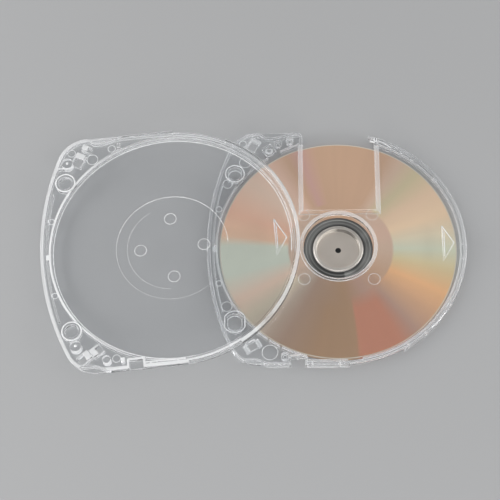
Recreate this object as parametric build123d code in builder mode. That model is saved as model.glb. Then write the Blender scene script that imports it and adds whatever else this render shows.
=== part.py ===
import os
from math import acos, asin, cos, degrees, radians, sin

from build123d import *

os.makedirs("parts", exist_ok=True)

# Disc and its steel hub
disc_diameter = 60.0
disc_thickness = 1.0
disc_lift = 0.1
hub_flange = 17.5
hub_bead_outer = 12.7
hub_cup = 10.9
hub_sheet = 0.2
hub_bead_rise = 0.35
hub_drop = 0.9
hub_slope = 0.2  # run of the bead's outer side
hub_wall_clearance = 0.25
spindle_hole = 1.4

# Case plan, the same for both shells: disc axis at the origin, long side to the left.
# A place on it is given as (inset from the long side, inset from the far or near edge).
disc_gap = 0.7  # disc to the ring wall round it
ring_wall = 0.45
rim_gap = 0.45  # ring wall to outer wall
wall = 0.8  # outer walls
side_reach = 0.9  # the long side is this much further out than the round end
side_radius = 70.0  # bow of the long side
plan_shift = 0.32  # the plan's middle line lies this far beyond the disc axis
corner_radius = 8.0
plate = 0.75  # flat faces of both shells
edge_bevel = 0.25  # outer edges of the flat faces

# Recesses of the outer wall
scallop_start = 13.4
scallop_floor_start = 15.1
scallop_floor_end = 17.0
scallop_end = 22.6
scallop_depth = 1.3
scallop_round = 1.1
nick_length = 15.6
nick_floor = 12.2
nick_depth = 1.4
slot_middle = 22.7
slot_width = 3.5
slot_depth = 2.2
recess_wall = 0.5
relief_start = 61.0  # finger reliefs on both sides of the round end, angles from its middle
relief_end = 86.0
relief_depth = 0.5
relief_wall = 0.4

# Ribs that both shells share
side_rib_inset = 1.45
side_rib = 0.35
side_rib_length = 35.5
stop_length = 1.4
strip_inset = 1.25  # second wall beside the slot
strip_wall = 0.3
strip_end = 34.9
strip_ribs = (26.2, 33.0)

# Guide tubes near the corners of the long side; the rear shell's near one is keyed by two flats
guide_inset = 7.1
guide_spread = 41.3
guide_outer = 5.2
guide_hole = 3.5
key_outer = 5.6
key_hole = 4.2
key_flat = 3.6

# Rear shell
rear_height = 2.3
rear_turn = 0.6  # degrees about the vertical
rear_place = (0.1, 0.4)  # it floats a little on the disc
rear_tube = 4.8  # round guide tube
ring_spans = ((-80.0, 73.0), (106.6, 117.9), (125.0, 234.0), (235.2, 240.8), (242.0, 253.0))
rib_gap = 0.15  # ribs and tubes stop short of the rim
rim_ribs = (57.7, 51.8, 37.0, 1.0, -6.0, -30.0, -48.0, -58.0)  # bridges from the ring to the wall
rim_rib = 0.5
window_left = 8.75
window_right = 9.75
window_round = 1.4
window_bar = 1.15
window_bar_drop = 0.25
window_hub_gap = 1.35
window_tongue = 3.6  # degrees that the plate's rim reaches into the window at its right
hub_opening_gap = 0.25
hub_lip = 0.8
hub_lip_rise = 0.2
clip_turn = 30.0
clip_window = 2.2
clip_block = 0.9
clip_gap = 0.5
clip_rib = 0.35
clip_rib_gap = 0.15
clip_tail = 1.1  # the far clip's rib runs past its window
clip_height = 1.1
far_clip = (11.6, 4.15)
near_clip = (11.45, 5.1)
socket_place = (15.85, 4.9)
socket_side = 2.7
socket_turn = 35.0
socket_hole = 1.5
far_bosses = ((18.15, 3.1), (21.2, 2.2))
near_boss = (19.5, 2.5)
boss_diameter = 1.95

# Front shell
front_height = 1.9
front_turn = 4.9
front_place = (-41.9, -0.1)
lean_gap = 0.04  # underside to the top edge of the rear shell
front_ring_gap = 0.65  # disc to the front shell's ring
front_ring_wall = 0.5
front_ring_height = 1.1
centre_radius = 14.2
centre_depth = 0.12
pin_diameter = 2.9
pin_height = 2.0
pin_web = 0.35
pin_web_drop = 0.9
far_pin = (7.9, 6.9)
near_pin = (8.0, 7.0)
small_pin = (15.5, 2.7)
small_pin_diameter = 2.1
hook_post = 1.0
hook_height = 1.5
hook_reach = 0.45
hook_head = 0.5
hook_rib = 0.3
hook_rib_height = 0.8
far_block = (21.3, 2.7)
near_block = (19.45, 2.4)
block_width = 0.9
block_length = 1.3
lip = 0.5  # straight outer wall past the scallop
lip_height = 0.8

cavity_radius = disc_diameter / 2 + disc_gap
case_radius = cavity_radius + ring_wall + rim_gap + wall  # round end, about the disc axis
case_left = case_radius + side_reach
front_ring_radius = disc_diameter / 2 + front_ring_gap
hub_opening_radius = hub_flange / 2 + hub_opening_gap
cavity_height = rear_height - plate
tube_height = cavity_height - rib_gap
inner_height = front_height - plate
ring_middle = cavity_radius + ring_wall / 2
rim_run = case_radius - wall / 2 - ring_middle
rim_middle = ring_middle + rim_run / 2
case_middle = (0, plan_shift)
side_middle = (side_radius - case_left, plan_shift)
window_middle = (window_right - window_left) / 2
window_width = window_left + window_right
window_near = hub_opening_radius + window_hub_gap
window_tongue_start = degrees(acos((window_right + wall / 2) / (case_radius - wall / 2)))


def far(inset, edge_inset):
    return inset - case_left, plan_shift + case_radius - edge_inset


def near(inset, edge_inset):
    return inset - case_left, plan_shift - case_radius + edge_inset


def turned(place, angle):
    return Location((*place, 0), (0, 0, angle))


guide_places = [(guide_inset - case_left, side * guide_spread / 2) for side in (1, -1)]
socket_spot = turned(far(*socket_place), socket_turn)

# Snap hooks of the front shell: place of the hole, its width, and the hook's direction from it
snaps = (
    (far(10.6, 6.2), 2.4, 60.0),
    (far(13.45, 3.0), 1.3, 150.0),
    (near(9.6, 3.7), 2.2, 36.0),
    (near(13.5, 5.85), 2.1, 213.0),
)

# Where the shells lie: the front one leans on the long side of the rear one
rear_plane = Plane(Location((*rear_place, 0), (0, 0, rear_turn)))
side_centre = rear_plane.from_local_coords(Vector(*side_middle, 0))
uphill = Vector(cos(radians(front_turn)), sin(radians(front_turn)), 0)
lean_run = case_left + (side_centre - Vector(*front_place, 0)).dot(uphill) - side_radius
front_lean = degrees(asin((rear_height + lean_gap) / lean_run))
front_lift = case_left * sin(radians(front_lean))
front_plane = Plane(Pos(*front_place, front_lift) * Rot(Z=front_turn) * Rot(Y=-front_lean))

# Plan of the case
with BuildSketch() as case_plan:
    with Locations(side_middle):
        Circle(side_radius)
    with Locations(case_middle):
        Rectangle(2 * case_left, 2 * case_radius, align=(Align.MAX, Align.CENTER), mode=Mode.INTERSECT)
    fillet(case_plan.vertices().group_by(Axis.X)[0], corner_radius)
    with Locations(case_middle):
        Circle(case_radius)

# Recesses in the outer wall: a scallop on the far edge, a nick and a slot on the near edge
with BuildSketch() as recess_plan:
    with BuildLine():
        scallop = FilletPolyline(
            far(scallop_start, 0),
            far(scallop_floor_start, scallop_depth),
            far(scallop_floor_end, scallop_depth),
            far(scallop_end, 0),
            radius=scallop_round,
        )
        Polyline(scallop @ 1, far(scallop_end, -wall), far(scallop_start, -wall), scallop @ 0)
    make_face()
    with BuildLine():
        Polyline(
            near(0, nick_depth),
            near(nick_floor, nick_depth),
            near(nick_length, 0),
            near(nick_length, -wall),
            near(0, -wall),
            close=True,
        )
    make_face()
    with Locations(near(slot_middle, 0)):
        Rectangle(slot_width, 2 * slot_depth)

with BuildSketch() as relief_plan:
    with BuildLine():
        for side in (1, -1):
            CenterArc(case_middle, case_radius, side * relief_start, side * (relief_end - relief_start))
    trace(line_width=2 * relief_depth)

with BuildSketch() as wall_plan:
    add(case_plan.sketch)
    offset(amount=-wall, mode=Mode.SUBTRACT)
    offset(recess_plan.sketch, amount=recess_wall, mode=Mode.ADD)
    offset(relief_plan.sketch, amount=relief_wall, mode=Mode.ADD)
    add(recess_plan.sketch, mode=Mode.SUBTRACT)
    add(relief_plan.sketch, mode=Mode.SUBTRACT)
    add(case_plan.sketch, mode=Mode.INTERSECT)

# Rib along the long side with its stop, and the second wall beside the slot
with BuildSketch() as rib_plan:
    with Locations(side_middle):
        Circle(side_radius - side_rib_inset)
        Circle(side_radius - side_rib_inset - side_rib, mode=Mode.SUBTRACT)
    Rectangle(2 * case_left, side_rib_length, align=(Align.MAX, Align.CENTER), mode=Mode.INTERSECT)
    with Locations((side_rib_inset - case_left, 0)):
        Rectangle(side_rib + stop_length / 2, stop_length, align=(Align.MIN, Align.CENTER))
    with Locations(near(slot_middle + slot_width / 2, strip_inset)):
        Rectangle(strip_end - slot_middle - slot_width / 2, strip_wall, align=(Align.MIN, Align.CENTER))
    with Locations(*[near(inset, wall / 2) for inset in strip_ribs]):
        Rectangle(strip_wall, strip_inset - wall / 2, align=(Align.CENTER, Align.MIN))

# Rear shell: its plate is open at the drive's window, the hub and the slot
with BuildSketch() as rear_plan:
    add(case_plan.sketch)
    with Locations((window_middle, window_near)):
        Rectangle(window_width, 2 * case_radius, align=(Align.CENTER, Align.MIN), mode=Mode.SUBTRACT)
    fillet(rear_plan.vertices().sort_by_distance((-window_left, case_radius))[0], window_round)
    with Locations(near(slot_middle, 0)):
        Rectangle(slot_width, 2 * slot_depth, mode=Mode.SUBTRACT)

with BuildSketch() as key_tube:
    Circle(key_outer / 2)
    Rectangle(guide_outer, key_outer, mode=Mode.INTERSECT)

with BuildSketch() as window_cheeks:
    with Locations((window_middle, 0)):
        Rectangle(window_width + 2 * wall, 2 * case_radius, align=(Align.CENTER, Align.MIN))
    Circle(cavity_radius, mode=Mode.SUBTRACT)
    add(recess_plan.sketch, mode=Mode.SUBTRACT)

with BuildPart() as rear_shell:
    with BuildSketch(rear_plane.offset(cavity_height)):
        add(rear_plan.sketch)
        with BuildLine():
            CenterArc(case_middle, case_radius - wall / 2, window_tongue_start, window_tongue)
        trace(line_width=wall)
    extrude(amount=plate)
    chamfer(rear_shell.faces().sort_by(Axis.Z)[-1].edges(), edge_bevel)
    with BuildSketch(rear_plane):
        add(wall_plan.sketch)
        add(window_cheeks.sketch)
        add(rear_plan.sketch, mode=Mode.INTERSECT)
    extrude(amount=cavity_height)
    # Ring round the disc, its bridges to the rim, tubes, bosses and ribs
    with BuildSketch(rear_plane.offset(rib_gap)):
        with BuildLine():
            for start, end in ring_spans:
                CenterArc((0, 0), ring_middle, start, end - start)
        trace(line_width=ring_wall)
        for angle in rim_ribs:
            with PolarLocations(rim_middle, 1, angle):
                Rectangle(rim_run, rim_rib)
        add(rib_plan.sketch)
        with Locations(guide_places[0]):
            Circle(rear_tube / 2)
        with Locations(guide_places[1]):
            add(key_tube.sketch)
        with Locations(*[far(*place) for place in far_bosses], near(*near_boss)):
            Circle(boss_diameter / 2)
        add(rear_plan.sketch, mode=Mode.INTERSECT)
        add(recess_plan.sketch, mode=Mode.SUBTRACT)
    extrude(amount=tube_height)
    # Blocks and ribs round the clip windows, and the square socket
    with BuildSketch(rear_plane.offset(cavity_height - clip_height)):
        with Locations(turned(far(*far_clip), -clip_turn)):
            with Locations((0, (clip_window + clip_block) / 2 + clip_gap)):
                Rectangle(clip_window, clip_block)
            with Locations((-clip_window / 2 - clip_rib_gap, -clip_window / 2 - clip_tail)):
                Rectangle(
                    clip_rib,
                    clip_tail + clip_window + clip_gap + clip_block,
                    align=(Align.MAX, Align.MIN),
                )
        with Locations(turned(near(*near_clip), clip_turn)):
            with GridLocations(clip_window + clip_block + 2 * clip_rib_gap, 0, 2, 1):
                Rectangle(clip_block, clip_window)
            with Locations((0, clip_window / 2 + clip_rib_gap)):
                Rectangle(clip_window + clip_gap, clip_rib, align=(Align.CENTER, Align.MIN))
        with Locations(socket_spot):
            Rectangle(socket_side, socket_side)
            Circle(socket_hole / 2, mode=Mode.SUBTRACT)
    extrude(amount=clip_height)
    with BuildSketch(rear_plane.offset(cavity_height - window_bar_drop)):
        with Locations((window_middle, window_near - window_bar)):
            Rectangle(
                window_width + 2 * window_bar,
                cavity_radius - window_near,
                align=(Align.CENTER, Align.MIN),
            )
        add(rear_plan.sketch, mode=Mode.INTERSECT)
    extrude(amount=window_bar_drop)
    with BuildSketch(rear_plane.offset(cavity_height)):
        Circle(hub_opening_radius + hub_lip)
    extrude(amount=plate + hub_lip_rise)
    # Through openings
    with BuildSketch(rear_plane):
        with Locations(guide_places[1]):
            Circle(key_hole / 2)
            Rectangle(key_flat, key_hole, mode=Mode.INTERSECT)
        with Locations(guide_places[0]):
            Circle(guide_hole / 2)
        Circle(hub_opening_radius)
        with Locations(turned(far(*far_clip), -clip_turn), turned(near(*near_clip), clip_turn)):
            Rectangle(clip_window, clip_window)
    extrude(amount=rear_height + hub_lip_rise, mode=Mode.SUBTRACT)
rear_shell.part.label = "rear_shell"
export_step(rear_shell.part, "parts/rear_shell.step")

# Front shell
with BuildPart() as front_shell:
    with BuildSketch(front_plane):
        add(case_plan.sketch)
    extrude(amount=plate)
    chamfer(front_shell.faces().sort_by(Axis((0, 0, 0), front_plane.z_dir))[0].edges(), edge_bevel)
    with BuildSketch(front_plane.offset(plate)):
        add(wall_plan.sketch)
        add(rib_plan.sketch)
        with Locations(*guide_places):
            Circle(guide_outer / 2)
        with Locations(far(far_pin[0], far_pin[1] + pin_web_drop)):
            Rectangle(far_pin[0], pin_web, align=(Align.MAX, Align.CENTER))
        with Locations(far(*far_block), near(*near_block)):
            Rectangle(block_width, block_length)
        add(case_plan.sketch, mode=Mode.INTERSECT)
    extrude(amount=inner_height)
    with BuildSketch(front_plane.offset(plate)):
        with Locations(far((scallop_start + scallop_end) / 2, 0)):
            Rectangle(scallop_end - scallop_start + 2 * wall, lip, align=(Align.CENTER, Align.MAX))
    extrude(amount=lip_height)
    with BuildSketch(front_plane.offset(plate)):
        Circle(front_ring_radius + front_ring_wall)
        Circle(front_ring_radius, mode=Mode.SUBTRACT)
    extrude(amount=front_ring_height)
    with BuildSketch(front_plane.offset(plate)):
        with Locations(far(*far_pin), near(*near_pin)):
            Circle(pin_diameter / 2)
        with Locations(near(*small_pin)):
            Circle(small_pin_diameter / 2)
    extrude(amount=pin_height)
    # Snap hooks: a post beside each hole, a head over the hole, and ribs on both sides
    with BuildSketch(front_plane.offset(plate)):
        for place, width, angle in snaps:
            with Locations(turned(place, angle)):
                with Locations((width / 2, 0)):
                    Rectangle(hook_post, width, align=(Align.MIN, Align.CENTER))
    extrude(amount=hook_height)
    with BuildSketch(front_plane.offset(plate + hook_height - hook_head)):
        for place, width, angle in snaps:
            with Locations(turned(place, angle)):
                with Locations((width / 2 - hook_reach, 0)):
                    Rectangle(hook_reach + hook_post, width, align=(Align.MIN, Align.CENTER))
    extrude(amount=hook_head)
    with BuildSketch(front_plane.offset(plate)):
        for place, width, angle in snaps:
            with Locations(turned(place, angle)):
                with Locations((hook_post / 2, 0)):
                    with GridLocations(0, width + hook_rib, 1, 2):
                        Rectangle(width + hook_post, hook_rib)
    extrude(amount=hook_rib_height)
    # Recessed centre, guide holes and snap holes
    with BuildSketch(front_plane.offset(plate)):
        Circle(centre_radius)
    extrude(amount=-centre_depth, mode=Mode.SUBTRACT)
    with BuildSketch(front_plane.offset(plate)):
        with Locations(*guide_places):
            Circle(guide_hole / 2)
    extrude(amount=inner_height, mode=Mode.SUBTRACT)
    with BuildSketch(front_plane):
        for place, width, angle in snaps:
            with Locations(turned(place, angle)):
                Rectangle(width, width)
    extrude(amount=plate, mode=Mode.SUBTRACT)
front_shell.part.label = "front_shell"
export_step(front_shell.part, "parts/front_shell.step")

# Disc
disc_top = disc_lift + disc_thickness
with BuildPart() as disc:
    with BuildSketch(Plane.XY.offset(disc_lift)):
        Circle(disc_diameter / 2)
        Circle(hub_cup / 2 + hub_sheet + hub_wall_clearance, mode=Mode.SUBTRACT)
    extrude(amount=disc_thickness)
disc.part.label = "disc"
export_step(disc.part, "parts/disc.step")

# Stamped hub: flange on the disc, a bead, and a cup down to the plate with the spindle hole
cup_radius = hub_cup / 2
bead_radius = hub_bead_outer / 2
flange_top = disc_top + hub_sheet
cup_floor = flange_top - hub_drop
bead_top = flange_top + hub_bead_rise
with BuildPart() as hub_plate:
    with BuildSketch(Plane.XZ):
        with BuildLine():
            Polyline(
                (spindle_hole / 2, cup_floor - hub_sheet),
                (cup_radius + hub_sheet, cup_floor - hub_sheet),
                (cup_radius + hub_sheet, disc_top),
                (hub_flange / 2, disc_top),
                (hub_flange / 2, flange_top),
                (bead_radius, flange_top),
                (bead_radius - hub_slope, bead_top),
                (cup_radius, bead_top),
                (cup_radius, cup_floor),
                (spindle_hole / 2, cup_floor),
                close=True,
            )
        make_face()
    revolve(axis=Axis.Z)
hub_plate.part.label = "hub_plate"
export_step(hub_plate.part, "parts/hub_plate.step")
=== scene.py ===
import math

import bmesh
import bpy
from mathutils import Matrix, Vector


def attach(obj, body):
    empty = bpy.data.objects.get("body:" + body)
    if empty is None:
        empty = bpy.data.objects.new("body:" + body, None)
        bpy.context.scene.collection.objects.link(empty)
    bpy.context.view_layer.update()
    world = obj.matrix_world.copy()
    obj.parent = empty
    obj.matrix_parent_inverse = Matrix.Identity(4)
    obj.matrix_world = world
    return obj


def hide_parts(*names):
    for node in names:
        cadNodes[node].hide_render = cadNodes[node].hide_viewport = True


mm = 0.001

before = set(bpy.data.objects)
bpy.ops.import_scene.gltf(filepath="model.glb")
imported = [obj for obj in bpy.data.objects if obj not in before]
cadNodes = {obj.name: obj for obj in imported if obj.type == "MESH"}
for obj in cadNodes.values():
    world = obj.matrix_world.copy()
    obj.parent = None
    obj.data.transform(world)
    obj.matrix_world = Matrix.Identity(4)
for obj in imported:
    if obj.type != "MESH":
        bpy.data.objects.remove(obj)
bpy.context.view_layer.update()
scene = bpy.context.scene
print("frame loaded:", ", ".join(sorted(cadNodes)))


# Camera at the photograph's angle; sizes in mm, angles in degrees
viewpoint = {
    "elevation": 64.88,
    "target": (-12.2, 0.33, 0.0),
    "distance": 500.0,
    "lens": 141.9,
    "sensor": 36.0,
    "shiftX": -0.08,
    "clipStart": 10.0,
}


def makeCamera(spec):
    tilt = math.radians(spec["elevation"])
    back = Vector((0.0, -math.cos(tilt), math.sin(tilt)))
    data = bpy.data.cameras.new("photoCamera")
    data.lens = spec["lens"]
    data.sensor_width = spec["sensor"]
    data.shift_x = spec["shiftX"]
    data.clip_start = spec["clipStart"] * mm
    camera = bpy.data.objects.new("photoCamera", data)
    camera.location = (Vector(spec["target"]) + back * spec["distance"]) * mm
    camera.rotation_euler = (math.pi / 2 - tilt, 0.0, 0.0)
    scene.collection.objects.link(camera)
    scene.camera = camera


makeCamera(viewpoint)
print("camera set")


# Small helpers for node trees
def addNode(tree, kind, **settings):
    node = tree.nodes.new(kind)
    for name, value in settings.items():
        setattr(node, name, value)
    return node


def newMaterial(name):
    material = bpy.data.materials.new(name)
    material.use_nodes = True
    tree = material.node_tree
    shader = tree.nodes["Principled BSDF"]
    return material, tree, shader


def mathNode(tree, operation, first, second=None):
    node = addNode(tree, "ShaderNodeMath", operation=operation)
    for index, value in enumerate((first, second)):
        if value is None:
            continue
        if isinstance(value, (int, float)):
            node.inputs[index].default_value = value
        else:
            tree.links.new(value, node.inputs[index])
    return node.outputs[0]


def rampNode(tree, factor, stops):
    ramp = addNode(tree, "ShaderNodeValToRGB")
    elements = ramp.color_ramp.elements
    while len(elements) < len(stops):
        elements.new(1.0)
    for element, (position, colour) in zip(elements, stops):
        element.position = position
        element.color = (*colour, 1.0)
    tree.links.new(factor, ramp.inputs["Fac"])
    return ramp.outputs["Color"]


def greyRamp(tree, factor, stops):
    return rampNode(tree, factor, [(place, (grey,) * 3) for place, grey in stops])


def objectPlace(tree):
    return addNode(tree, "ShaderNodeTexCoord").outputs["Object"]


def noiseNode(tree, place, scale, detail):
    noise = addNode(tree, "ShaderNodeTexNoise")
    noise.inputs["Scale"].default_value = scale
    noise.inputs["Detail"].default_value = detail
    tree.links.new(place, noise.inputs["Vector"])
    return noise.outputs["Fac"]


def rangeNode(tree, value, low, high, newLow, newHigh):
    node = addNode(tree, "ShaderNodeMapRange")
    names = ("From Min", "From Max", "To Min", "To Max")
    for name, number in zip(names, (low, high, newLow, newHigh)):
        node.inputs[name].default_value = number
    tree.links.new(value, node.inputs["Value"])
    return node.outputs["Result"]


# A noise is given as its scale per metre, its detail and the part of its span that is used
def noiseRange(tree, place, noise, newLow, newHigh):
    scale, detail, low, high = noise
    return rangeNode(tree, noiseNode(tree, place, scale, detail), low, high, newLow, newHigh)


# Clear moulded plastic of both shells. Its edges and some of its faces are painted white, a painted
# highlight that stands in for the light they catch: by a share near each edge and a share for each
# face, both kept in face attributes
clearPlastic = {
    "colour": (0.98, 0.985, 0.99),
    "ior": 1.57,
    "smudges": (55.0, 2.0, 0.2, 0.8),
    "roughness": (0.015, 0.045),
    "edgeRound": 0.17,  # mm
    "edgeSamples": 6,
    "edgeCosine": (0.998, 0.9),  # between both normals, from the face to its edge
    "edgeHighlight": 0.95,
    "lampTint": (0.93, 0.935, 0.94),
}


def makeClearPlastic(spec):
    material, tree, shader = newMaterial("clearPlastic")
    shader.inputs["Base Color"].default_value = (*spec["colour"], 1.0)
    shader.inputs["IOR"].default_value = spec["ior"]
    smudges = noiseRange(tree, objectPlace(tree), spec["smudges"], *spec["roughness"])
    tree.links.new(smudges, shader.inputs["Roughness"])
    rounded = addNode(tree, "ShaderNodeBevel", samples=spec["edgeSamples"])
    rounded.inputs["Radius"].default_value = spec["edgeRound"] * mm
    tree.links.new(rounded.outputs["Normal"], shader.inputs["Normal"])
    # Near an edge the rounded normal leaves the face's own
    flat = addNode(tree, "ShaderNodeNewGeometry")
    agree = addNode(tree, "ShaderNodeVectorMath", operation="DOT_PRODUCT")
    tree.links.new(rounded.outputs["Normal"], agree.inputs[0])
    tree.links.new(flat.outputs["Normal"], agree.inputs[1])
    edge = rangeNode(tree, agree.outputs["Value"], *spec["edgeCosine"], 0.0, spec["edgeHighlight"])
    paintedLightShare = addNode(tree, "ShaderNodeAttribute", attribute_name="paintedLightShare")
    edgeHighlightShare = addNode(tree, "ShaderNodeAttribute", attribute_name="edgeHighlightShare")
    # Painted highlight: where the edge and face shares are high, less light goes through and the
    # plastic shows white
    edgeLight = mathNode(tree, "MULTIPLY", edge, edgeHighlightShare.outputs["Fac"])
    paintedLight = mathNode(tree, "MAXIMUM", edgeLight, paintedLightShare.outputs["Fac"])
    tree.links.new(mathNode(tree, "SUBTRACT", 1.0, paintedLight), shader.inputs["Transmission Weight"])
    # Lamps shine through, so that the disc under the shell stays lit
    path = addNode(tree, "ShaderNodeLightPath")
    through = addNode(tree, "ShaderNodeBsdfTransparent")
    through.inputs["Color"].default_value = (*spec["lampTint"], 1.0)
    mix = addNode(tree, "ShaderNodeMixShader")
    lit = mathNode(tree, "MAXIMUM", path.outputs["Is Shadow Ray"], path.outputs["Is Diffuse Ray"])
    tree.links.new(lit, mix.inputs["Fac"])
    tree.links.new(shader.outputs["BSDF"], mix.inputs[1])
    tree.links.new(through.outputs["BSDF"], mix.inputs[2])
    tree.links.new(mix.outputs["Shader"], tree.nodes["Material Output"].inputs["Surface"])
    return material


# Disc: mirror layer whose broad spectral fans round the axis are painted sheen, colours of
# diffracted light set into the base colour; radii in mm
discFinish = {
    "metallic": 0.3,
    "smudges": (70.0, 1.0, 0.1, 0.9),
    "roughness": (0.27, 0.345),
    "tints": {
        "cream": (0.785, 0.80, 0.625),
        "straw": (1.0, 0.75, 0.515),
        "sand": (0.94, 0.69, 0.485),
        "olive": (0.72, 0.62, 0.405),
        "clay": (0.75, 0.55, 0.42),
        "tan": (0.68, 0.45, 0.31),
        "rose": (0.69, 0.43, 0.375),
        "blush": (0.83, 0.57, 0.44),
        "fawn": (0.95, 0.71, 0.555),
        "peach": (1.0, 0.61, 0.435),
        "honey": (1.0, 0.67, 0.465),
        "mint": (0.80, 0.835, 0.70),
        "stone": (0.72, 0.63, 0.485),
        "umber": (0.54, 0.44, 0.36),
        "taupe": (0.46, 0.325, 0.245),
        "brown": (0.48, 0.31, 0.195),
        "red": (0.64, 0.295, 0.20),
        "hazel": (0.56, 0.365, 0.285),
        "apricot": (1.0, 0.585, 0.305),
        "khaki": (0.84, 0.70, 0.425),
    },
    # share of a turn from +X, counter-clockwise seen from above
    "fans": (
        (0.000, "cream"),
        (0.055, "straw"),
        (0.095, "sand"),
        (0.130, "olive"),
        (0.158, "clay"),
        (0.180, "tan"),
        (0.280, "tan"),
        (0.305, "rose"),
        (0.325, "tan"),
        (0.345, "blush"),
        (0.390, "fawn"),
        (0.445, "peach"),
        (0.480, "honey"),
        (0.495, "mint"),
        (0.540, "mint"),
        (0.580, "fawn"),
        (0.612, "stone"),
        (0.638, "umber"),
        (0.668, "taupe"),
        (0.715, "brown"),
        (0.773, "brown"),
        (0.778, "red"),
        (0.835, "red"),
        (0.862, "hazel"),
        (0.935, "apricot"),
        (0.972, "khaki"),
        (1.000, "cream"),
    ),
    "wander": (45.0, 0.0, 0.0, 1.0),
    "wanderReach": 0.006,
    "rays": (9.0, 3.0, 0.2, 0.8),
    "rayShade": (0.97, 1.03),
    # near fans lean by this share of a turn from the rim to the mirror band, in this part of a turn
    "lean": 0.014,
    "leaning": ((0.66, 0.0), (0.72, 1.0), (0.84, 1.0), (0.90, 0.0)),
    # the plain mirror band round the hub, a little off the axis: the disc's own tint, with painted
    # reflection in its tones round the axis
    "mirrorFans": (
        (0.000, "clay"),
        (0.060, "blush"),
        (0.140, "clay"),
        (0.190, "tan"),
        (0.300, "tan"),
        (0.360, "clay"),
        (0.570, "clay"),
        (0.640, "umber"),
        (0.668, "taupe"),
        (0.770, "brown"),
        (0.833, "hazel"),
        (0.915, "tan"),
        (1.000, "clay"),
    ),
    "mirrorOuter": 13.25,
    "mirrorBlur": 0.25,
    "mirrorShift": 0.65,  # towards +X
    "mirrorFade": (13.0, 17.0),  # its softer end at the leaning fans
    # pale line at the edge: painted highlight
    "rim": (0.76, 0.70, 0.60),
    "rimInner": 29.75,
    "rimBlur": 0.05,
    "rimFacing": 0.5,  # upright part of the normal, at least
}


def polarPlace(tree):
    place = objectPlace(tree)
    split = addNode(tree, "ShaderNodeSeparateXYZ")
    tree.links.new(place, split.inputs["Vector"])
    turn = mathNode(tree, "ARCTAN2", split.outputs["Y"], split.outputs["X"])
    share = mathNode(tree, "FRACT", mathNode(tree, "DIVIDE", turn, 2 * math.pi))
    squares = mathNode(
        tree,
        "ADD",
        mathNode(tree, "MULTIPLY", split.outputs["X"], split.outputs["X"]),
        mathNode(tree, "MULTIPLY", split.outputs["Y"], split.outputs["Y"]),
    )
    radius = mathNode(tree, "DIVIDE", mathNode(tree, "SQRT", squares), mm)
    return place, share, radius


# The node's sockets share their names, so the colour ones are taken by number
def mixColour(tree, factor, first, second):
    node = addNode(tree, "ShaderNodeMix", data_type="RGBA")
    tree.links.new(factor, node.inputs[0])
    for socket, value in ((node.inputs[6], first), (node.inputs[7], second)):
        if isinstance(value, tuple):
            socket.default_value = (*value, 1.0)
        else:
            tree.links.new(value, socket)
    return node.outputs[2]


def fanStops(spec, name):
    return [(turn, spec["tints"][tint]) for turn, tint in spec[name]]


def blurredStep(tree, value, edge, blur, before, after):
    return rangeNode(tree, value, edge - blur, edge + blur, before, after)


# Fine rays, from noise on the direction alone
def rayShade(tree, place, spec):
    flat = addNode(tree, "ShaderNodeVectorMath", operation="MULTIPLY")
    flat.inputs[1].default_value = (1.0, 1.0, 0.0)
    tree.links.new(place, flat.inputs[0])
    direction = addNode(tree, "ShaderNodeVectorMath", operation="NORMALIZE")
    tree.links.new(flat.outputs["Vector"], direction.inputs[0])
    return noiseRange(tree, direction.outputs["Vector"], spec["rays"], *spec["rayShade"])


# Share of the mirror band at each place, softer where the fans lean
def mirrorShare(tree, share, radius, leaning, spec):
    sideways = mathNode(tree, "COSINE", mathNode(tree, "MULTIPLY", share, 2 * math.pi))
    shift = mathNode(tree, "MULTIPLY", sideways, spec["mirrorShift"])
    bandPlace = mathNode(tree, "SUBTRACT", radius, shift)
    band = blurredStep(tree, bandPlace, spec["mirrorOuter"], spec["mirrorBlur"], 1.0, 0.0)
    fade = rangeNode(tree, radius, *spec["mirrorFade"], 1.0, 0.0)
    return mathNode(tree, "MAXIMUM", mathNode(tree, "MULTIPLY", leaning, fade), band)


def makeDiscFinish(spec):
    material, tree, shader = newMaterial("discMirror")
    place, share, radius = polarPlace(tree)
    reach = spec["wanderReach"]
    wander = noiseRange(tree, place, spec["wander"], -reach, reach)
    mirrorPlace = mathNode(tree, "ADD", share, wander)
    leaning = greyRamp(tree, share, spec["leaning"])
    lean = rangeNode(tree, radius, spec["mirrorOuter"], spec["rimInner"], -spec["lean"], 0.0)
    fanPlace = mathNode(tree, "ADD", mirrorPlace, mathNode(tree, "MULTIPLY", leaning, lean))
    # Painted sheen: the fans' colours by angle stand in for diffracted light
    fans = rampNode(tree, mathNode(tree, "FRACT", fanPlace), fanStops(spec, "fans"))
    mirror = rampNode(tree, mathNode(tree, "FRACT", mirrorPlace), fanStops(spec, "mirrorFans"))
    shade = addNode(tree, "ShaderNodeHueSaturation")
    tree.links.new(rayShade(tree, place, spec), shade.inputs["Value"])
    tree.links.new(fans, shade.inputs["Color"])
    inner = mirrorShare(tree, share, radius, leaning, spec)
    colour = mixColour(tree, inner, shade.outputs["Color"], mirror)
    # The rim's pale colour, a painted highlight along the disc's edge, is on the upper face alone,
    # not on the disc's side
    outer = blurredStep(tree, radius, spec["rimInner"], spec["rimBlur"], 0.0, 1.0)
    facing = addNode(tree, "ShaderNodeSeparateXYZ")
    tree.links.new(addNode(tree, "ShaderNodeTexCoord").outputs["Normal"], facing.inputs["Vector"])
    onFace = mathNode(tree, "GREATER_THAN", facing.outputs["Z"], spec["rimFacing"])
    colour = mixColour(tree, mathNode(tree, "MULTIPLY", outer, onFace), colour, spec["rim"])
    tree.links.new(colour, shader.inputs["Base Color"])
    shader.inputs["Metallic"].default_value = spec["metallic"]
    smudges = noiseRange(tree, place, spec["smudges"], *spec["roughness"])
    tree.links.new(smudges, shader.inputs["Roughness"])
    return material
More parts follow.
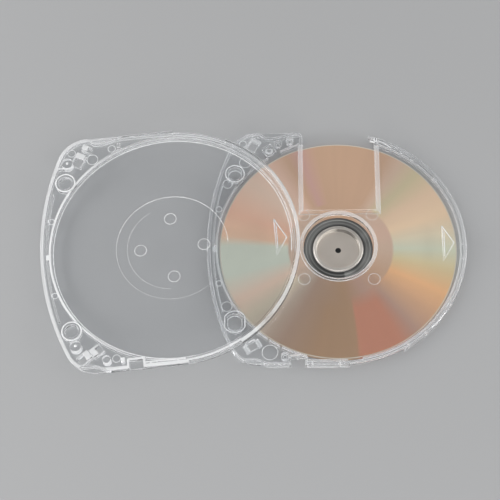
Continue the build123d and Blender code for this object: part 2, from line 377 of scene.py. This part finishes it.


# Stamped steel hub: satin cup, pale bead and dark polished flange, with painted light and shade in
# its tones; radii in mm
hubFinish = {
    # tones by radius, the steel's own with painted light in them: the near-black hole wall and the
    # darker foot of the cup wall are painted shade, the brighter lines at 5.53, 7.30 and 8.10
    # painted highlights, and the near-black outer edge painted shadow
    "rings": (
        (0.00, (0.02, 0.02, 0.02)),
        (0.70, (0.02, 0.02, 0.02)),
        (0.76, (0.715, 0.65, 0.58)),
        (5.20, (0.735, 0.67, 0.60)),
        (5.32, (0.50, 0.465, 0.42)),
        (5.47, (0.54, 0.505, 0.46)),
        (5.53, (0.68, 0.635, 0.58)),
        (5.75, (0.64, 0.60, 0.55)),
        (6.22, (0.58, 0.545, 0.50)),
        (6.36, (0.22, 0.21, 0.20)),
        (6.60, (0.05, 0.05, 0.05)),
        (7.05, (0.09, 0.09, 0.087)),
        (7.30, (0.22, 0.22, 0.21)),
        (7.42, (0.08, 0.08, 0.078)),
        (7.95, (0.10, 0.10, 0.097)),
        (8.10, (0.42, 0.42, 0.40)),
        (8.22, (0.06, 0.06, 0.058)),
        (8.60, (0.04, 0.04, 0.04)),
        (8.68, (0.012, 0.012, 0.012)),
    ),
    "ringSpan": 10.0,
    "wallStart": (5.2, 5.3),
    "beadStart": (5.49, 5.56),
    "beadEnd": (6.3, 6.4),
    "flangeStart": (6.6, 6.9),
    "flangeEnd": (8.6, 8.66),
    # by shares of a turn, all painted light: glints on the flange, and the brightness of the cup's
    # wall and its bead
    "glints": (
        (0.000, 0.30),
        (0.040, 0.20),
        (0.085, 0.40),
        (0.120, 0.20),
        (0.200, 0.15),
        (0.320, 0.32),
        (0.400, 0.32),
        (0.460, 0.35),
        (0.520, 0.32),
        (0.580, 0.12),
        (0.660, 0.00),
        (0.780, 0.00),
        (0.788, 0.55),
        (0.815, 0.50),
        (0.860, 0.20),
        (0.930, 0.45),
        (1.000, 0.30),
    ),
    "wallShine": (
        (0.00, 1.1),
        (0.07, 1.0),
        (0.11, 0.45),
        (0.17, 0.3),
        (0.25, 0.35),
        (0.275, 0.9),
        (0.31, 1.2),
        (0.42, 1.3),
        (0.50, 1.2),
        (0.60, 1.1),
        (1.00, 1.1),
    ),
    "beadShine": (
        (0.00, 1.2),
        (0.05, 1.1),
        (0.125, 0.8),
        (0.25, 0.72),
        (0.375, 0.8),
        (0.43, 1.25),
        (0.50, 1.4),
        (0.57, 1.2),
        (0.64, 0.95),
        (0.75, 0.93),
        (0.875, 1.03),
        (0.95, 1.2),
        (1.00, 1.2),
    ),
    "glint": (0.50, 0.50, 0.48),
    "metallic": 0.45,
    "satin": (250.0, 1.0, 0.1, 0.9),
    "roughness": (0.28, 0.31),
}


# A soft-edged ring, 1 between its start and its end
def ringZone(tree, radius, start, end):
    rise = rangeNode(tree, radius, *start, 0.0, 1.0)
    return mathNode(tree, "MULTIPLY", rise, rangeNode(tree, radius, *end, 1.0, 0.0))


def cupShine(tree, share, radius, spec):
    # A ramp's greys stop at 1, so the shine is halved in them
    wall, bead = (
        greyRamp(tree, share, [(turn, shine / 2) for turn, shine in spec[name]])
        for name in ("wallShine", "beadShine")
    )
    onBead = rangeNode(tree, radius, *spec["beadStart"], 0.0, 1.0)
    shine = mathNode(tree, "MULTIPLY", mixColour(tree, onBead, wall, bead), 2.0)
    onCup = ringZone(tree, radius, spec["wallStart"], spec["beadEnd"])
    change = mathNode(tree, "MULTIPLY", onCup, mathNode(tree, "SUBTRACT", shine, 1.0))
    return mathNode(tree, "ADD", 1.0, change)


def makeHubFinish(spec):
    material, tree, shader = newMaterial("hubSteel")
    place, share, radius = polarPlace(tree)
    span = spec["ringSpan"]
    stops = [(reach / span, colour) for reach, colour in spec["rings"]]
    rings = rampNode(tree, mathNode(tree, "DIVIDE", radius, span), stops)
    # Painted glints on the flange and painted light and shade on the cup's wall and bead, fixed
    # round the axis
    onFlange = ringZone(tree, radius, spec["flangeStart"], spec["flangeEnd"])
    glints = mathNode(tree, "MULTIPLY", onFlange, greyRamp(tree, share, spec["glints"]))
    shade = addNode(tree, "ShaderNodeHueSaturation")
    tree.links.new(cupShine(tree, share, radius, spec), shade.inputs["Value"])
    tree.links.new(mixColour(tree, glints, rings, spec["glint"]), shade.inputs["Color"])
    tree.links.new(shade.outputs["Color"], shader.inputs["Base Color"])
    shader.inputs["Metallic"].default_value = spec["metallic"]
    satin = noiseRange(tree, place, spec["satin"], *spec["roughness"])
    tree.links.new(satin, shader.inputs["Roughness"])
    return material


plasticLook = makeClearPlastic(clearPlastic)
discLook = makeDiscFinish(discFinish)
hubLook = makeHubFinish(hubFinish)
print("finishes made")


# Where each shell lies, in mm and degrees, and the height of its flat plate in its own frame
shellFrames = {
    "rear": {"place": (0.1, 0.4, 0.0), "turn": 0.6, "lean": 0.0, "plate": (1.55, 2.3)},
    "front": {"place": (-41.9, -0.1, 1.864), "turn": 4.9, "lean": 3.208, "plate": (0.0, 0.75)},
}


def shellMatrix(spec):
    turn = Matrix.Rotation(math.radians(spec["turn"]), 4, "Z")
    lean = Matrix.Rotation(-math.radians(spec["lean"]), 4, "Y")
    return Matrix.Translation(Vector(spec["place"]) * mm) @ turn @ lean


# Shells and disc follow their solids, with the round walls shaded smooth.
# Faces of the shells are painted white by shares, a painted highlight that stands in for the light
# their walls and wall ends catch, at places in the shell's own frame, in mm and degrees:
# walls     upright faces
# ends      level ends of walls: height, then shares at the middle, the left and the right
# bands     lengths of wall end round the axis: height, first and last angle, share
# sideRib   end of the rib along the long side
# lip       raised edge of the hub opening: height, least and most share
# spots     round a place, instead of walls and ends: x, y, reach, walls, ends
# quiet     keeps this much of the painted light on faces and edges: inner and outer radius, two angles, share
dressedPieces = {
    "rearShellClear": {
        "node": "rear_shell",
        "body": "case",
        "slot": "clear_plastic",
        "look": plasticLook,
        "frame": "rear",
        "walls": 0.05,
        "ends": (
            (0.0, 0.15, 0.3, 0.5),
            (0.15, 0.5, 0.7, 0.65),
            (0.45, 0.6, 0.6, 0.6),
            (1.3, 0.4, 0.4, 0.4),
        ),
        "bands": (),
        "sideRib": 0.45,
        "lip": (2.5, 0.1, 0.4),
        "quiet": ((10.35, 13.6, 52.0, 128.0, 0.2),),
        "spots": (
            (0.5, 10.3, 6.2, 0.05, 0.0),
            (-17.45, 27.82, 2.0, 0.1, 0.0),
            (-15.15, 29.62, 1.1, 0.1, 0.0),
            (-12.1, 30.52, 1.1, 0.3, 0.2),
            (-13.8, -29.58, 1.1, 0.3, 0.2),
            (-26.2, 20.65, 2.9, 0.05, 0.05),
            (-26.2, -20.65, 3.0, 0.05, 0.05),
            (-31.3, 0.0, 1.2, 0.3, 0.8),
        ),
    },
    "frontShellClear": {
        "node": "front_shell",
        "body": "case",
        "slot": "clear_plastic",
        "look": plasticLook,
        "frame": "front",
        "walls": 0.12,
        "ends": (
            (1.55, 0.4, 0.4, 0.4),
            (1.85, 0.05, 0.8, 0.05),
            (1.9, 0.03, 0.6, 0.3),
            (2.25, 0.6, 0.6, 0.6),
        ),
        "bands": (
            (1.9, -128.0, -40.0, 0.7),
            (1.9, -52.0, 44.0, 0.5),
            (1.85, -108.0, -88.0, 0.7),
        ),
        "sideRib": 0.0,
        "quiet": ((30.4, 31.4, -60.0, -8.0, 0.0), (11.0, 29.5, -48.0, -2.0, 0.1)),
        "spots": (
            (-26.2, 20.65, 2.7, 0.12, 0.0),
            (-26.2, -20.65, 2.7, 0.12, 0.0),
            (-25.4, 25.82, 1.6, 0.75, 0.0),
            (-25.3, -25.08, 1.6, 0.75, 0.0),
            (-17.8, -29.38, 1.2, 0.8, 0.0),
            (-13.85, -29.68, 0.9, 0.5, 0.75),
            (-31.3, 0.0, 1.2, 0.3, 0.8),
        ),
    },
    "discMirror": {"node": "disc", "body": "disc", "slot": "disc_mirror", "look": discLook},
}
# Limits of those painted-light shares, in mm where nothing else is said
bandFade = 12.0  # degrees at both ends of a band
leftFade = (10.0, 24.0)
rightFade = (24.0, 31.0)
lipFade = (-7.0, 0.0)
sameHeight = 0.02
wallUpright = 0.35  # upright part of the normal, at most
endUpright = 0.95  # and at least
sideRib = {"middle": (36.7, 0.32), "reach": (68.0, 68.7), "half": 18.0}
creaseAngle = math.radians(30.0)
mergeDistance = 0.0005 * mm


def fadeShare(value, limits):
    return min(max((value - limits[0]) / (limits[1] - limits[0]), 0.0), 1.0)


def angleOf(place):
    return math.degrees(math.atan2(place.y, place.x))


def onSideRib(x, y):
    least, most = sideRib["reach"]
    away = math.hypot(x - sideRib["middle"][0], y - sideRib["middle"][1])
    return x < 0 and abs(y) < sideRib["half"] and least < away < most


def endPaintedLight(spec, place):
    if onSideRib(place.x, place.y):
        return spec["sideRib"]
    angle = angleOf(place)
    inBands = [
        share * fadeShare(min(angle - first, last - angle), (0.0, bandFade))
        for height, first, last, share in spec["bands"]
        if abs(place.z - height) < sameHeight and first < angle < last
    ]
    if inBands:
        return max(inBands)
    for height, middle, left, right in spec["ends"]:
        if abs(place.z - height) < sameHeight:
            toLeft = (left - middle) * fadeShare(-place.x, leftFade)
            return middle + toLeft + (right - middle) * fadeShare(place.x, rightFade)
    return 0.0


# Share of painted highlight for a face: upright walls, level wall ends, the lip and spots
def facePaintedLight(spec, place, upright, plate):
    if "lip" in spec and abs(place.z - spec["lip"][0]) < sameHeight:
        # painted highlight, brighter towards the far right
        least, most = spec["lip"][1:]
        return least + (most - least) * fadeShare(place.x / 2 + place.y, lipFade)
    near = [
        (walls, ends)
        for x, y, reach, walls, ends in spec["spots"]
        if math.hypot(place.x - x, place.y - y) < reach
    ]
    onPlate = plate[0] - sameHeight < place.z < plate[1] + sameHeight
    if upright < wallUpright:
        return near[0][0] if near else spec["walls"]
    if upright > endUpright and not onPlate:
        return near[0][1] if near else endPaintedLight(spec, place)
    return 0.0


def quietShare(spec, place):
    radius = math.hypot(place.x, place.y)
    angle = angleOf(place)
    for inner, outer, first, last, share in spec["quiet"]:
        if inner < radius < outer and first < angle < last:
            return share
    return 1.0


def markPaintedLight(work, spec):
    shell = shellFrames[spec["frame"]]
    home = shellMatrix(shell).inverted()
    unturned = home.to_3x3()
    paintedLightLayer = work.faces.layers.float.new("paintedLightShare")
    edgeLayer = work.faces.layers.float.new("edgeHighlightShare")
    for face in work.faces:
        place = home @ face.calc_center_median() / mm
        upright = abs((unturned @ face.normal).z)
        share = quietShare(spec, place)
        face[paintedLightLayer] = facePaintedLight(spec, place, upright, shell["plate"]) * share
        face[edgeLayer] = share


def smoothRounds(work):
    for face in work.faces:
        face.smooth = True
    for edge in work.edges:
        edge.smooth = len(edge.link_faces) == 2 and edge.calc_face_angle(0.0) < creaseAngle


def finishMesh(name, work, look):
    mesh = bpy.data.meshes.new(name)
    work.to_mesh(mesh)
    work.free()
    mesh.materials.append(look)
    return mesh


def addPiece(name, mesh, body, node=None):
    piece = bpy.data.objects.new(name, mesh)
    scene.collection.objects.link(piece)
    if node:
        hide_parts(node)
    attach(piece, body)


def dressPiece(name, spec):
    work = bmesh.new()
    work.from_mesh(cadNodes[spec["node"]].data)
    bmesh.ops.remove_doubles(work, verts=work.verts, dist=mergeDistance)
    bmesh.ops.dissolve_degenerate(work, dist=mergeDistance, edges=work.edges)
    smoothRounds(work)
    if "ends" in spec:
        markPaintedLight(work, spec)
    mesh = finishMesh(name, work, spec["look"])
    addPiece(name, mesh, spec["body"], spec["node"])


for name, spec in dressedPieces.items():
    dressPiece(name, spec)
print("solids dressed:", ", ".join(dressedPieces))


# Hub pressed from sheet: section as (radius, height, bend), all in mm, turned about the axis
hubPressing = {
    "section": (
        (0.7, 0.2, 0.04),
        (5.65, 0.2, 0.3),
        (5.65, 1.1, 0.05),
        (8.75, 1.1, 0.05),
        (8.75, 1.3, 0.06),
        (8.15, 1.3, 0.05),
        (8.05, 1.26, 0.05),
        (7.35, 1.26, 0.05),
        (7.25, 1.3, 0.05),
        (6.4, 1.3, 0.14),
        (6.15, 1.65, 0.16),
        (5.45, 1.65, 0.18),
        (5.42, 0.4, 0.14),
        (0.7, 0.4, 0.05),
    ),
    "bendSteps": 4,
    "turnSteps": 128,
}


def bentSection(spec):
    corners = [(Vector(corner[:2]), corner[2]) for corner in spec["section"]]
    section = []
    for index, (corner, bend) in enumerate(corners):
        before = (corners[index - 1][0] - corner).normalized() * bend + corner
        after = (corners[(index + 1) % len(corners)][0] - corner).normalized() * bend + corner
        for step in range(spec["bendSteps"] + 1):
            share = step / spec["bendSteps"]
            section.append(before.lerp(corner, share).lerp(corner.lerp(after, share), share))
    return section


def turnedMesh(name, spec, look):
    work = bmesh.new()
    section = bentSection(spec)
    up = Vector((0.0, 0.0, mm))
    rings = []
    for step in range(spec["turnSteps"]):
        angle = 2 * math.pi * step / spec["turnSteps"]
        across = Vector((math.cos(angle), math.sin(angle), 0.0)) * mm
        rings.append([work.verts.new(across * point.x + up * point.y) for point in section])
    for ring, following in zip(rings, rings[1:] + rings[:1]):
        for index in range(len(section)):
            after = (index + 1) % len(section)
            work.faces.new((ring[index], following[index], following[after], ring[after]))
    bmesh.ops.remove_doubles(work, verts=work.verts, dist=mergeDistance)
    bmesh.ops.recalc_face_normals(work, faces=work.faces)
    smoothRounds(work)
    return finishMesh(name, work, look)


hubMesh = turnedMesh("hubPressed", hubPressing, hubLook)
addPiece("hubPressed", hubMesh, "disc", "hub_plate")
print("hub pressed")


# Near-black film on the disc's back, which also closes the hub's hole: a dark sheet standing in for
# the shade seen through the hole; section as for the hub
holeShadeFilm = {
    "section": ((0.0, 0.05, 0.0), (29.4, 0.05, 0.01), (29.4, 0.09, 0.01), (0.0, 0.09, 0.0)),
    "bendSteps": 1,
    "turnSteps": 128,
    "grain": (700.0, 3.0, 0.2, 0.8),
    # near-black, a painted shade for the hub's hole
    "print": ((0.0, (0.015, 0.015, 0.017)), (1.0, (0.026, 0.026, 0.028))),
    "roughness": (0.38, 0.52),
}


def makeHoleShadeFinish(spec):
    material, tree, shader = newMaterial("holeShadeDark")
    scale, detail, low, high = spec["grain"]
    grain = noiseNode(tree, objectPlace(tree), scale, detail)
    tree.links.new(rampNode(tree, grain, spec["print"]), shader.inputs["Base Color"])
    worn = rangeNode(tree, grain, low, high, *spec["roughness"])
    tree.links.new(worn, shader.inputs["Roughness"])
    return material


filmMesh = turnedMesh("holeShadeFilm", holeShadeFilm, makeHoleShadeFinish(holeShadeFilm))
addPiece("holeShadeFilm", filmMesh, "disc")
print("label film laid")


# Steps of an arc, of a ring and of a line's own section
markSteps = {"arc": 60, "ring": 40, "line": 6}


def arcLine(diameter, first, last):
    steps = markSteps["arc"]
    angles = [math.radians(first + (last - first) * step / steps) for step in range(steps + 1)]
    return [(diameter / 2 * math.cos(angle), diameter / 2 * math.sin(angle)) for angle in angles]


# Outline of a round hole with two flats
def flatSided(x, y, diameter, flat):
    places = []
    for step in range(markSteps["ring"]):
        angle = 2 * math.pi * step / markSteps["ring"]
        aside = min(max(diameter / 2 * math.cos(angle), -flat / 2), flat / 2)
        places.append((x + aside, y + diameter / 2 * math.sin(angle)))
    return places + places[:1]


# Thin near-white lines, in each shell's own frame, in mm: partly moulded marks such as the arrows,
# partly painted highlights along edges and round holes, such as the ring inside the tube at (-26.2,
# 20.65);
# rings as (x, y, height, diameter, line) and outlines as (corners, height, line)
mouldAndHighlightMarks = {
    "rearMarks": {
        "frame": "rear",
        "rings": (
            (-17.54, -28.65, 1.55, 3.9, 0.16),
            (-30.3, 10.7, 1.55, 1.5, 0.2),
            (-30.2, -10.0, 1.55, 1.5, 0.2),
            (-28.1, 17.9, 1.55, 2.4, 0.18),
            (-28.2, -16.35, 1.55, 2.6, 0.18),
            (-23.6, 24.05, 1.55, 2.9, 0.18),
            (-24.2, 29.65, 1.55, 1.8, 0.18),
            (-8.8, -8.9, 1.55, 3.0, 0.1),
            (8.75, -9.05, 1.55, 3.0, 0.1),
            (8.7, 8.9, 1.55, 3.0, 0.08),
            (-8.7, 8.9, 1.55, 3.0, 0.08),
            (-15.15, 29.62, 0.15, 0.9, 0.22),
            (-12.1, 30.52, 0.15, 0.9, 0.22),
            (-13.8, -29.58, 0.15, 0.9, 0.22),
            (-13.8, -29.58, 0.15, 1.75, 0.25),
            (-12.1, 30.52, 0.15, 1.75, 0.2),
            (-26.2, 20.65, 2.3, 4.8, 0.28),
            (-26.2, 20.65, 0.5, 3.45, 0.2),
            (-17.45, 27.82, 0.45, 1.7, 0.3),
        ),
        "outlines": (
            (((26.3, 5.3), (29.2, 0.65), (26.3, -4.4), (26.3, 5.3)), 2.3, 0.24),
            (((26.75, 4.0), (26.75, -3.1)), 2.3, 0.2),
            (((-16.3, 7.5), (-13.1, 2.5), (-15.6, -2.5), (-16.3, 7.5)), 2.3, 0.3),
            (((-15.75, 6.0), (-15.3, -0.8)), 2.3, 0.24),
            (((8.8, 30.95), (10.75, 30.35)), 0.3, 0.6),
            (((10.9, 30.2), (12.4, 29.55)), 1.45, 0.3),
            (((12.4, 29.55), (14.2, 28.1)), 1.45, 0.3),
            (flatSided(-26.2, -20.65, 5.8, 5.0), 2.3, 0.26),
            (flatSided(-26.2, -20.65, 4.1, 3.55), 0.9, 0.2),
        ),
    },
    "frontMarks": {
        "frame": "front",
        "rings": (
            (-24.4, 29.6, 0.75, 2.0, 0.16),
            (-19.1, 27.2, 0.75, 2.8, 0.16),
            (-13.95, 29.8, 0.75, 1.9, 0.16),
            (-15.5, -28.7, 0.75, 2.0, 0.16),
            (-30.3, 10.5, 0.75, 1.5, 0.2),
            (-30.15, -10.2, 0.75, 1.5, 0.2),
            (8.05, 0.0, 0.63, 3.0, 0.13),
            (0.0, 8.05, 0.63, 3.0, 0.13),
            (-8.05, 0.0, 0.63, 3.0, 0.13),
            (0.0, -8.05, 0.63, 3.0, 0.13),
            (-26.2, 20.65, 1.9, 4.85, 0.35),
            (-26.2, -20.65, 1.9, 4.85, 0.35),
            (-25.4, 25.82, 2.75, 0.3, 0.4),
            (-25.3, -25.08, 2.75, 0.3, 0.4),
        ),
        "outlines": (
            (arcLine(22.8, 115.0, 265.0), 0.63, 0.06),
            (arcLine(60.4, -8.0, 278.0), 0.75, 0.2),
        ),
    },
}
markFinish = {
    # near-white on clear plastic: a painted highlight
    "colour": (0.93, 0.935, 0.94),
    "clear": 0.12,
    "ior": 1.57,
    "grain": (900.0, 2.0, 0.3, 0.7),
    "roughness": (0.18, 0.32),
}


def makeMarkFinish(spec):
    material, tree, shader = newMaterial("mouldAndHighlightLine")
    shader.inputs["Base Color"].default_value = (*spec["colour"], 1.0)
    shader.inputs["Transmission Weight"].default_value = spec["clear"]
    shader.inputs["IOR"].default_value = spec["ior"]
    grain = noiseRange(tree, objectPlace(tree), spec["grain"], *spec["roughness"])
    tree.links.new(grain, shader.inputs["Roughness"])
    return material


def namedValue(tree, name):
    node = addNode(tree, "GeometryNodeInputNamedAttribute", data_type="FLOAT")
    node.inputs["Name"].default_value = name
    return node.outputs["Attribute"]


def makeMarkTree():
    tree = bpy.data.node_groups.new("mouldAndHighlightMarks", "GeometryNodeTree")
    names = {}
    for name, kind in (
        ("Geometry", "NodeSocketGeometry"),
        ("Ring Steps", "NodeSocketInt"),
        ("Line Sides", "NodeSocketInt"),
        ("Finish", "NodeSocketMaterial"),
    ):
        names[name] = tree.interface.new_socket(name, in_out="INPUT", socket_type=kind).identifier
    tree.interface.new_socket("Geometry", in_out="OUTPUT", socket_type="NodeSocketGeometry")
    start = addNode(tree, "NodeGroupInput")
    end = addNode(tree, "NodeGroupOutput")
    link = tree.links.new
    # A ring on each point that has a radius
    circle = addNode(tree, "GeometryNodeCurvePrimitiveCircle")
    circle.inputs["Radius"].default_value = 1.0
    link(start.outputs["Ring Steps"], circle.inputs["Resolution"])
    radius = namedValue(tree, "ringRadius")
    ringed = addNode(tree, "FunctionNodeCompare", data_type="FLOAT", operation="GREATER_THAN")
    link(radius, ringed.inputs["A"])
    rings = addNode(tree, "GeometryNodeInstanceOnPoints")
    link(start.outputs["Geometry"], rings.inputs["Points"])
    link(ringed.outputs["Result"], rings.inputs["Selection"])
    link(circle.outputs["Curve"], rings.inputs["Instance"])
    link(radius, rings.inputs["Scale"])
    # Outlines run along the edges
    outlines = addNode(tree, "GeometryNodeMeshToCurve")
    link(start.outputs["Geometry"], outlines.inputs["Mesh"])
    lines = addNode(tree, "GeometryNodeJoinGeometry")
    link(rings.outputs["Instances"], lines.inputs["Geometry"])
    link(outlines.outputs["Curve"], lines.inputs["Geometry"])
    realize = addNode(tree, "GeometryNodeRealizeInstances")
    link(lines.outputs["Geometry"], realize.inputs["Geometry"])
    profile = addNode(tree, "GeometryNodeCurvePrimitiveCircle")
    profile.inputs["Radius"].default_value = 1.0
    link(start.outputs["Line Sides"], profile.inputs["Resolution"])
    tube = addNode(tree, "GeometryNodeCurveToMesh")
    tube.inputs["Fill Caps"].default_value = True
    link(realize.outputs["Geometry"], tube.inputs["Curve"])
    link(profile.outputs["Curve"], tube.inputs["Profile Curve"])
    link(namedValue(tree, "lineRadius"), tube.inputs["Scale"])
    finish = addNode(tree, "GeometryNodeSetMaterial")
    link(tube.outputs["Mesh"], finish.inputs["Geometry"])
    link(start.outputs["Finish"], finish.inputs["Material"])
    link(finish.outputs["Geometry"], end.inputs["Geometry"])
    return tree, names


# Points with a radius for the rings, and points along edges for the outlines
def markPlaces(name, spec):
    points, edges, radii, lines = [], [], [], []
    for x, y, height, diameter, line in spec["rings"]:
        points.append(Vector((x, y, height)) * mm)
        radii.append(diameter / 2 * mm)
        lines.append(line / 2 * mm)
    for corners, height, line in spec["outlines"]:
        first = len(points)
        for x, y in corners:
            points.append(Vector((x, y, height)) * mm)
            radii.append(0.0)
            lines.append(line / 2 * mm)
        edges += [(index, index + 1) for index in range(first, len(points) - 1)]
    mesh = bpy.data.meshes.new(name + "Places")
    mesh.from_pydata(points, edges, [])
    for label, values in (("ringRadius", radii), ("lineRadius", lines)):
        mesh.attributes.new(label, "FLOAT", "POINT").data.foreach_set("value", values)
    return mesh


def makeMarks(name, spec, tree, names, look):
    carrier = bpy.data.objects.new(name + "Places", markPlaces(name, spec))
    scene.collection.objects.link(carrier)
    modifier = carrier.modifiers.new("marks", "NODES")
    modifier.node_group = tree
    modifier[names["Ring Steps"]] = markSteps["ring"]
    modifier[names["Line Sides"]] = markSteps["line"]
    modifier[names["Finish"]] = look
    graph = bpy.context.evaluated_depsgraph_get()
    marks = bpy.data.meshes.new_from_object(carrier.evaluated_get(graph))
    carrier.modifiers.remove(modifier)
    bpy.data.objects.remove(carrier)
    marks.transform(shellMatrix(shellFrames[spec["frame"]]))
    marks.name = name
    for polygon in marks.polygons:
        polygon.use_smooth = True
    addPiece(name, marks, "case")


markTree, markInputs = makeMarkTree()
markLook = makeMarkFinish(markFinish)
for name, spec in mouldAndHighlightMarks.items():
    makeMarks(name, spec, markTree, markInputs, markLook)
print("moulding marks set:", ", ".join(mouldAndHighlightMarks))


# Pale table and soft studio light, in metres and watts; sky by height
stageSet = {
    "tableSize": 3.0,
    "tableDrop": 0.00002,
    "table": (0.41, 0.413, 0.417),
    "tableRoughness": 0.8,
    "lampAim": (-0.012, 0.0, 0.0),
    "sky": (
        (0.0, (0.05, 0.05, 0.055)),
        (0.3, (0.12, 0.12, 0.125)),
        (0.6, (0.46, 0.465, 0.47)),
        (0.76, (0.46, 0.465, 0.47)),
        (0.84, (0.16, 0.16, 0.165)),
    ),
    "worldStrength": 0.8,
}
softboxes = {
    "overhead": {"place": (0.0, -0.3, 0.75), "size": (0.7, 0.5), "power": 2.05},
    "leftStrip": {"place": (-0.5, 0.0, 0.13), "size": (0.5, 0.1), "power": 2.2},
    "rightStrip": {"place": (0.5, 0.0, 0.13), "size": (0.5, 0.1), "power": 1.6},
    "backStrip": {"place": (0.0, 0.5, 0.13), "size": (0.6, 0.1), "power": 1.0},
    "frontStrip": {"place": (0.0, -0.5, 0.13), "size": (0.6, 0.1), "power": 1.6},
}


def makeTable(spec):
    mesh = bpy.data.meshes.new("table")
    half = spec["tableSize"] / 2
    signs = ((-1, -1), (1, -1), (1, 1), (-1, 1))
    corners = [(x * half, y * half, -spec["tableDrop"]) for x, y in signs]
    mesh.from_pydata(corners, [], [(0, 1, 2, 3)])
    table = bpy.data.objects.new("table", mesh)
    scene.collection.objects.link(table)
    material, _, shader = newMaterial("tablePaint")
    shader.inputs["Base Color"].default_value = (*spec["table"], 1.0)
    shader.inputs["Roughness"].default_value = spec["tableRoughness"]
    mesh.materials.append(material)


def makeSky(spec):
    world = bpy.data.worlds.new("studio")
    scene.world = world
    world.use_nodes = True
    tree = world.node_tree
    background = tree.nodes["Background"]
    background.inputs["Strength"].default_value = spec["worldStrength"]
    height = addNode(tree, "ShaderNodeSeparateXYZ")
    direction = addNode(tree, "ShaderNodeTexCoord").outputs["Generated"]
    tree.links.new(direction, height.inputs["Vector"])
    tree.links.new(rampNode(tree, height.outputs["Z"], spec["sky"]), background.inputs["Color"])


def makeLamps(spec, boxes):
    for name, box in boxes.items():
        data = bpy.data.lights.new(name, "AREA")
        data.shape = "RECTANGLE"
        data.size, data.size_y = box["size"]
        data.energy = box["power"]
        lamp = bpy.data.objects.new(name, data)
        lamp.location = box["place"]
        aim = Vector(spec["lampAim"]) - lamp.location
        lamp.rotation_euler = aim.to_track_quat("-Z", "Y").to_euler()
        scene.collection.objects.link(lamp)


makeTable(stageSet)
makeSky(stageSet)
makeLamps(stageSet, softboxes)
scene.view_settings.view_transform = "Standard"
print("table and light set")
